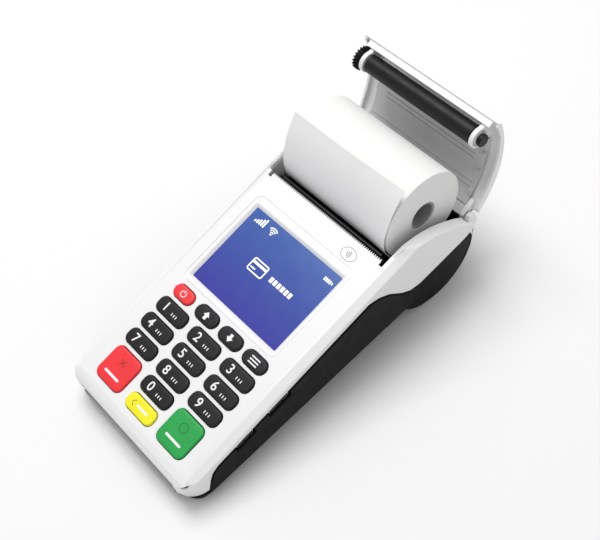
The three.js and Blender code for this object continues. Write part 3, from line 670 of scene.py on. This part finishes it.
PITCH_X, PITCH_Y = 19.7, 8.43
DIGIT_KEY = (16.2, 6.4, 2.5, KEY_DARK)
KEYS = {f"key_{d + 1}": ((d % 3 - 1) * PITCH_X, -(d // 3) * PITCH_Y, *DIGIT_KEY) for d in range(9)}
KEYS["key_0"] = (0, -3 * PITCH_Y, *DIGIT_KEY)
KEYS["key_clear"] = (0, -4 * PITCH_Y, 15.6, 6.4, 2.5, KEY_YELLOW)
KEYS["key_cancel"] = (-19.4, -29.5, 15.0, 14.6, 2.8, KEY_RED)
KEYS["key_enter"] = (19.2, -29.5, 15.2, 14.8, 2.8, KEY_GREEN)
TOP_ROW = (("key_power", KEY_RED), ("key_f1", KEY_DARK), ("key_f2", KEY_DARK), ("key_menu", KEY_DARK))
TOP_PITCH, TOP_Y = 14.2, 8.1
for i, (name, material) in enumerate(TOP_ROW):
    width, height = (11.9, 5.9) if i else (10.6, 5.6)
    KEYS[name] = ((i - 1.5) * TOP_PITCH, TOP_Y, width, height, height / 2 - 0.05, material)
for name, values in KEYS.items():
    key_body(name, *values)
print("keys:", len(KEYS))

# %% [markdown]
# ## Signs on the keys
# The signs are printed ink. An image would blur close up, so each sign is a very thin solid that lies on
# its key and moves with it. Digits come from the plain built-in typeface, turned into a mesh before they
# are placed. Everything else is a simple generic sign: arrows, a cross, a ring, bars.


# %% Sign kit
def letters(name, text, x, y, size, material, body, z, bold=0.09):
    """Text as a thin closed solid about height z, centred on x and y."""
    curve = bpy.data.curves.new(name, "FONT")
    curve.body = text
    curve.size = size
    curve.offset = bold
    curve.extrude = 0.02
    curve.align_x = "CENTER"
    curve.align_y = "CENTER"
    curve.resolution_u = 6
    holder = bpy.data.objects.new(name + "_curve", curve)
    bpy.context.scene.collection.objects.link(holder)
    mesh = bpy.data.meshes.new_from_object(holder.evaluated_get(bpy.context.evaluated_depsgraph_get()))
    bpy.data.objects.remove(holder)
    spots = np.empty(len(mesh.vertices) * 3)
    mesh.vertices.foreach_get("co", spots)
    spots = spots.reshape(-1, 3)
    spots[:, :2] -= (spots[:, :2].min(0) + spots[:, :2].max(0)) / 2
    mesh.vertices.foreach_set("co", panel(spots + [x, y, z]).ravel())
    mesh.materials.clear()
    mesh.materials.append(material)
    mesh.update()
    piece = bpy.data.objects.new(name, mesh)
    bpy.context.scene.collection.objects.link(piece)
    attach(piece, body)
    return piece


def bar(x, y, width, height):
    """Rectangle outline, anticlockwise."""
    return np.array([[x - width / 2, y - height / 2], [x + width / 2, y - height / 2],
                     [x + width / 2, y + height / 2], [x - width / 2, y + height / 2]])


def stroke(path, width):
    """Outline of an open path of that width, with square ends."""
    path = np.asarray(path, float)
    along = np.gradient(path, axis=0)
    along /= np.linalg.norm(along, axis=1)[:, None]
    side = np.stack([-along[:, 1], along[:, 0]], -1) * width / 2
    return np.concatenate([path - side, (path + side)[::-1]])


def arc_path(x, y, radius, a0, a1, steps=20, flat=1.0):
    """Arc from a0 to a1 degrees about x, y; flat squeezes it across."""
    a = np.radians(np.linspace(a0, a1, steps))
    return np.stack([x + radius * np.cos(a), y + flat * radius * np.sin(a)], -1)


def dot(x, y, radius, steps=16):
    """Round outline."""
    return arc_path(x, y, radius, 0, 360 * (1 - 1 / steps), steps)


def sign(name, loops, material, body, z, thick=0.05):
    """Thin plates over the outlines, with their upper face at height z."""
    points, faces = plate(loops, z - thick, z)
    return make(name, points, faces, material, body)


print("sign kit ready")

# %% [markdown]
# ## White signs on the dark keys
# Every digit key carries its digit on the left and three short bars where the real one has small letters.
# The row above has two arrows, three bars for a menu and a ring with a stroke for power.

# %% White signs on the dark keys
SIGN_Z = KEY_TOP + 0.05
for d in range(10):
    key = f"key_{d}"
    x, y = KEYS[key][:2]
    letters(f"{key}_digit", str(d), x - 3.3, y + 0.2, 5.4, PRINT_WHITE, key + "_cap", SIGN_Z - 0.02, 0.06)
    dots = [bar(x + 1.0 + 1.25 * k, y - 0.7, 0.4, 1.2) for k in range(3)]
    sign(f"{key}_marks", dots, PRINT_WHITE, key + "_cap", SIGN_Z)

x, y = KEYS["key_f1"][:2]
up_arrow = np.array([[-1.6, -0.1], [-0.7, -0.1], [-0.7, -1.7], [0.7, -1.7], [0.7, -0.1], [1.6, -0.1],
                     [0, 1.7]])
sign("key_f1_arrow", [up_arrow + [x, y]], PRINT_WHITE, "key_f1_cap", SIGN_Z)
x, y = KEYS["key_f2"][:2]
sign("key_f2_arrow", [-up_arrow + [x, y]], PRINT_WHITE, "key_f2_cap", SIGN_Z)
x, y = KEYS["key_menu"][:2]
menu_bars = [bar(x, y + k * 1.25, 4.6, 0.55) for k in (-1, 0, 1)]
sign("key_menu_bars", menu_bars, PRINT_WHITE, "key_menu_cap", SIGN_Z)
x, y = KEYS["key_power"][:2]
sign("key_power_sign", [stroke(arc_path(x, y, 1.3, 125, 415, 28), 0.34), bar(x, y + 1.0, 0.34, 1.5)],
     PRINT_WHITE, "key_power_cap", SIGN_Z)
print("white signs up to the power key")

# %% [markdown]
# ## Signs on the coloured keys
# Cancel, enter and clear carry a sign in a deeper tone of the key itself and a short white line. The
# cross is two strokes at slightly different heights, so that their crossing doesn't flicker.

# %% Signs on the coloured keys
RED_DEEP = surface("key_red_deep", (0.42, 0.015, 0.02), 0.5, 0.05, 0.05, 120, 3000, 1e-5)
GREEN_DEEP = surface("key_green_deep", (0.006, 0.17, 0.04), 0.5, 0.05, 0.05, 120, 3000, 1e-5)
YELLOW_DEEP = surface("key_yellow_deep", (0.35, 0.31, 0.02), 0.5, 0.05, 0.05, 120, 3000, 1e-5)
x, y = KEYS["key_cancel"][:2]
cross = [stroke([[x - 1.3, y + 2.6 - s * 1.3], [x + 1.3, y + 2.6 + s * 1.3]], 0.42) for s in (-1, 1)]
sign("key_cancel_cross", cross[:1], RED_DEEP, "key_cancel_cap", SIGN_Z)
sign("key_cancel_cross_b", cross[1:], RED_DEEP, "key_cancel_cap", SIGN_Z + 0.01)
sign("key_cancel_line", [rounded_loop(x, y - 3.6, 8.6, 1.0, 0.5)], PRINT_WHITE, "key_cancel_cap", SIGN_Z)
x, y = KEYS["key_enter"][:2]
ring = stroke(arc_path(x, y + 2.4, 1.9, 0, 358, 40), 0.34)
sign("key_enter_ring", [ring], GREEN_DEEP, "key_enter_cap", SIGN_Z)
sign("key_enter_line", [rounded_loop(x, y - 3.4, 8.6, 1.0, 0.5)], PRINT_WHITE, "key_enter_cap", SIGN_Z)
x, y = KEYS["key_clear"][:2]
chevron = stroke([[x - 3.4, y + 1.3], [x - 4.7, y], [x - 3.4, y - 1.3]], 0.4)
sign("key_clear_chevron", [chevron], YELLOW_DEEP, "key_clear_cap", SIGN_Z)
sign("key_clear_line", [rounded_loop(x + 1.2, y, 6.4, 0.9, 0.45)], PRINT_WHITE, "key_clear_cap", SIGN_Z)
print("signs on", len(KEYS), "keys")

# %% [markdown]
# ## Picture on the display
# Signal bars, a wireless fan and a battery's charge lie along the far edge, with a plain payment card and
# a row of blocks for its caption in the middle. They are thin lit solids just above the glass, generic on
# purpose, and stay sharp at any distance.

# %% Display picture
LCD_Z, ICON_THICK = -1.56, 0.03
CARD = (-6.6, 34.8)
FAN = (-13.0, 47.6)
mast = [bar(-22.6 + 1.15 * k, 48.2 + 0.35 * k, 0.7, 0.9 + 0.7 * k) for k in range(5)]
sign("display_signal", mast, ICON, "case", LCD_Z, ICON_THICK)
fan = [stroke(arc_path(*FAN, r, 45, 135, 12), 0.38) for r in (1.1, 2.0, 2.9)]
sign("display_wireless", fan + [dot(-13.0, 47.7, 0.4)], ICON, "case", LCD_Z, ICON_THICK)
charge = [bar(17.6 + 0.95 * k, 48.6, 0.6, 1.5) for k in range(4)]
sign("display_battery", charge + [bar(21.5, 48.6, 0.4, 1.0)], ICON, "case", LCD_Z, ICON_THICK)
card = rounded_loop(*CARD, 8.4, 5.8, 0.9, 5)
hole = rounded_loop(*CARD, 7.4, 4.8, 0.5, 5)
ring_points = np.concatenate([at_height(card, LCD_Z - ICON_THICK), at_height(card, LCD_Z),
                              at_height(hole, LCD_Z), at_height(hole, LCD_Z - ICON_THICK)])
ring_faces = np.array(strip_faces(5, len(card))) % len(ring_points)
make("display_card", ring_points, ring_faces.tolist(), ICON, "case")
stripe = [bar(-6.6, 35.9, 7.4, 1.0), bar(-8.4, 33.6, 2.6, 0.55)]
sign("display_card_stripe", stripe, ICON, "case", LCD_Z, ICON_THICK)
caption = [bar(1.4 + 2.1 * k, 34.8, 1.5, 2.2) for k in range(6)]
sign("display_caption", caption, ICON, "case", LCD_Z, ICON_THICK)
print("display picture: card outline of", len(ring_points), "points")

# %% [markdown]
# ## Printed marks on the face
# A set of plain waves in a thin oval is printed beside the serrated bar, where a card is held. Both are
# strokes of even width along arcs, laid flat on the face like the signs on the keys.

# %% Marks
MARK_Z, MARK_THICK = 0.03, 0.06
oval = stroke(arc_path(18.8, 61.0, 3.6, 0, 359, 48, 0.72), 0.2)
waves = [stroke(arc_path(17.0, 61.0, r, -38, 38, 12), 0.3) for r in (0.9, 1.7, 2.5)]
sign("contactless_oval", [oval], PRINT_GREY, "case", MARK_Z, MARK_THICK)
sign("contactless_waves", waves, PRINT_GREY, "case", MARK_Z, MARK_THICK)
print("marks: an oval and", len(waves), "waves")

# %% [markdown]
# ## Paper roll
# The receipt paper is a tight coil on a card core. A spiral would be truer but its layers are thinner
# than anything that can be seen, so the coil is a closed profile of (radius, x) turned about the roll's
# axis, with softly rounded edges. Its windings are in the material.

# %% Paper roll
SIDES = 144
CORE_R = 6.03
soft = 0.25
quarter = np.linspace(0, math.pi / 2, 5)
outer = [(ROLL_R - soft + soft * math.sin(a), ROLL_HALF - soft + soft * math.cos(a)) for a in quarter]
profile = [(CORE_R, ROLL_HALF), *outer, *[(r, -x) for r, x in outer[::-1]], (CORE_R, -ROLL_HALF)]
turn = np.linspace(0, 2 * math.pi, SIDES, endpoint=False)
rings = np.array([np.column_stack([np.full(SIDES, x), LIFTED[0] + r * np.cos(turn),
                                   LIFTED[1] + r * np.sin(turn)])
                  for r, x in profile])
coil_faces = np.array(strip_faces(len(profile) + 1, SIDES)) % (len(profile) * SIDES)
make("paper_roll_look", rings.reshape(-1, 3), coil_faces[:, ::-1].tolist(), PAPER_COIL, "paper_coil", 50,
     ["paper_roll"])
print("coil points:", len(profile) * SIDES)

# %% [markdown]
# ## Loose end of the paper
# The end of the receipt stands off the roll's front and curls up. A cloth simulation would give another
# shape each time, so the sheet's middle line is a smooth curve through six points, swept along x. A free
# edge is never straight: the middle of its end is raised, the left corner rises a little more, the right
# side lies closer to the roll, and a lens-shaped gap opens half-way along the right edge.

# %% Middle line of the paper
KNOTS = np.array([[-18.5, -6.7], [-19.6, -0.2], [-17.5, 9.0], [-13.0, 15.8], [-8.2, 20.8], [-3.4, 24.6]])


def smooth_path(knots, steps):
    """Catmull-Rom curve through the knots: cubic between each pair, slopes from the neighbours."""
    knots = np.asarray(knots, float)
    s = np.linspace(0, len(knots) - 1, steps)
    i = np.minimum(s.astype(int), len(knots) - 2)
    t = (s - i)[:, None]
    before, after = np.maximum(i - 1, 0), np.minimum(i + 2, len(knots) - 1)
    p0, p1, p2, p3 = knots[before], knots[i], knots[i + 1], knots[after]
    m1, m2 = (p2 - p0) / 2, (p3 - p1) / 2
    return ((2 * t**3 - 3 * t**2 + 1) * p1 + (t**3 - 2 * t**2 + t) * m1
            + (-2 * t**3 + 3 * t**2) * p2 + (t**3 - t**2) * m2)


ROWS, COLS, THICK = 60, 40, 0.12
path = smooth_path(KNOTS, ROWS) + LIFTED
slope = np.gradient(path, axis=0)
slope /= np.linalg.norm(slope, axis=1)[:, None]
outward = np.stack([-slope[:, 1], slope[:, 0]], -1)
outward *= np.sign((outward * (path - LIFTED)).sum(1))[:, None]
print("middle line:", ROWS, "rows")

# %% [markdown]
# ## Curl and thickness of the paper
# The curl is a height field over the sheet, added along the outward direction of the middle line. The
# sheet then gets a front, a back and a rim, because a single layer has no thickness from the side. When
# the roll drops into its well the stiff sheet would pass far into the front wall.

# %% Paper end
CREST, CREST_WAVE, LEFT_RISE = 0.35, 9.0, 0.02
TOUCH_R, RIGHT_PULL = 19.4, 0.2
GAP, GAP_AT, GAP_LENGTH = 0.9, 0.3, 0.16
across = np.linspace(-ROLL_HALF, ROLL_HALF, COLS)
along_sheet = np.linspace(0, 1, ROWS)[:, None]
free = along_sheet ** 2
lift = free * (CREST * np.cos(across / CREST_WAVE) - LEFT_RISE * across)[None, :]
reach = np.linalg.norm(path - LIFTED, axis=1)[:, None] - TOUCH_R
lift -= RIGHT_PULL * reach * np.linspace(0, 1, COLS)[None, :] ** 2
gap_shape = np.exp(-((along_sheet - GAP_AT) / GAP_LENGTH) ** 2)
lift += GAP * gap_shape * np.clip(across / ROLL_HALF, 0, 1)[None, :] ** 3


def sheet_side(shift):
    """One face of the sheet, moved out from its middle line by shift."""
    spot = path[:, None, :] + outward[:, None, :] * (lift + shift)[..., None]
    return np.concatenate([np.broadcast_to(across[None, :, None], (ROWS, COLS, 1)), spot], -1)


front, back = sheet_side(THICK / 2).reshape(-1, 3), sheet_side(-THICK / 2).reshape(-1, 3)
quads = np.array(strip_faces(ROWS, COLS, closed=False))
total = ROWS * COLS
index = np.arange(total).reshape(ROWS, COLS)
border = np.concatenate([index[0, :-1], index[:-1, -1], index[-1, :0:-1], index[:0:-1, 0]])
following = np.roll(border, -1)
rim = np.stack([border, following, following + total, border + total], -1)
sheet_faces = np.concatenate([quads, quads[:, ::-1] + total]).tolist() + rim[:, ::-1].tolist()
paper_end = make("paper_tail_look", np.concatenate([front, back]), sheet_faces, PAPER, "paper_carrier", 60,
                 ["paper_tail"])
work = bmesh.new()
work.from_mesh(paper_end.data)
bmesh.ops.recalc_face_normals(work, faces=work.faces)
work.to_mesh(paper_end.data)
work.free()
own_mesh(paper_end)
print("paper end points:", total * 2)

# %% [markdown]
# ## Stage
# A product is easiest to judge on a pale ground in soft light. A wide floor and an even pale sky fill the
# shadows, and one large soft lamp above and to the left gives the case its highlights and a soft
# shadow. The camera is placed by its eye, the point it looks at and its roll about that line.

# %% Floor, sky and lamp
floor_mesh = bpy.data.meshes.new("floor")
floor_mesh.from_pydata([(-4, -4, 0), (4, -4, 0), (4, 4, 0), (-4, 4, 0)], [], [(0, 1, 2, 3)])
floor_mesh.materials.append(surface("floor_white", (0.9, 0.9, 0.9), 0.7, 0.03, 0.005, 2, 400, 1e-6))
floor = bpy.data.objects.new("floor", floor_mesh)
bpy.context.scene.collection.objects.link(floor)

SKY_STRENGTH = 0.52
world = bpy.data.worlds.new("sky")
world.use_nodes = True
world.node_tree.nodes["Background"].inputs[0].default_value = (1, 1, 1, 1)
world.node_tree.nodes["Background"].inputs[1].default_value = SKY_STRENGTH
bpy.context.scene.world = world


def lamp(name, place, aim, size, power):
    """Square soft lamp at place, facing aim."""
    data = bpy.data.lights.new(name, "AREA")
    data.size = size
    data.energy = power
    lamp_object = bpy.data.objects.new(name, data)
    lamp_object.location = place
    lamp_object.rotation_euler = (Vector(aim) - Vector(place)).to_track_quat("-Z", "Y").to_euler()
    bpy.context.scene.collection.objects.link(lamp_object)


LAMP_PLACE, LAMP_AIM = (-0.28, 0.12, 1.0), (0, 0, 0.03)
LAMP_SIZE, LAMP_POWER = 0.6, 7.1
lamp("lamp_over", LAMP_PLACE, LAMP_AIM, LAMP_SIZE, LAMP_POWER)
print("floor, sky and lamp ready")

# %% [markdown]
# ## Camera
# The camera stands to the right of the keypad and above it, and looks down at the terminal's middle. Its
# axes are built from the line of sight, level and rise, and then rolled, because a roll given as an Euler
# angle would depend on the other two.

# %% Camera
EYE = Vector((0.209063, -0.123604, 0.371214))
AIM = Vector((0.012303, -0.000444, 0.045458))
ROLL = math.radians(-11.60655)
ahead = (AIM - EYE).normalized()
level = ahead.cross(Vector((0, 0, 1))).normalized()
rise = level.cross(ahead)
right = level * math.cos(ROLL) + rise * math.sin(ROLL)
upward = rise * math.cos(ROLL) - level * math.sin(ROLL)
FOCAL_LENGTH = 65.218
camera_data = bpy.data.cameras.new("camera")
camera_data.lens = FOCAL_LENGTH
camera_data.clip_start = 0.01
camera = bpy.data.objects.new("camera", camera_data)
camera.matrix_world = Matrix.Translation(EYE) @ Matrix((right, upward, -ahead)).transposed().to_4x4()
bpy.context.scene.collection.objects.link(camera)
bpy.context.scene.camera = camera
bpy.context.scene.view_settings.view_transform = "Standard"
print("camera at", tuple(round(v, 3) for v in EYE))
